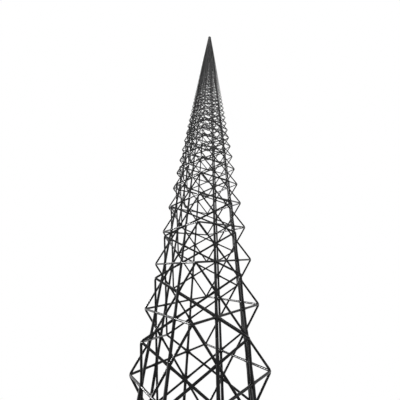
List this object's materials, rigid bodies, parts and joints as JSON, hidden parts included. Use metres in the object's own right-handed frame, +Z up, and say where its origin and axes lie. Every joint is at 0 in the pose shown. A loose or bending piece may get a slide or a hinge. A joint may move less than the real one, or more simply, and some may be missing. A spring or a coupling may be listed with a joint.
{
  "type": "radio mast",
  "caption": "Slender open-lattice radio mast: straight round legs tied by helical bracing bars, on a round bolted foot flange, with a plain head plate.",
  "frame": {"origin": "centre of the foot flange's underside, on the axis of the mast", "axes": "+Z up along the axis of the mast, +X through a column of outer joints"},
  "size_m": [0.336, 0.336, 39.624],
  "materials": {
    "lattice": "black carbon-fibre composite, satin gloss",
    "fittings": "galvanised steel"
  },
  "bodies": {
    "root": {"foot_flange": "fittings", "mast_section_01": "lattice", "mast_section_02": "lattice", "mast_section_03": "lattice", "mast_section_04": "lattice", "mast_section_05": "lattice", "mast_section_06": "lattice", "mast_section_07": "lattice", "mast_section_08": "lattice", "mast_section_09": "lattice", "mast_section_10": "lattice", "mast_section_11": "lattice", "mast_section_12": "lattice", "mast_section_13": "lattice", "mast_section_14": "lattice", "mast_section_15": "lattice", "mast_section_16": "lattice", "mast_section_17": "lattice", "mast_section_18": "lattice", "mast_section_19": "lattice", "mast_section_20": "lattice", "mast_section_21": "lattice", "mast_section_22": "lattice", "head_plate": "fittings"}
  },
  "joints": []
}
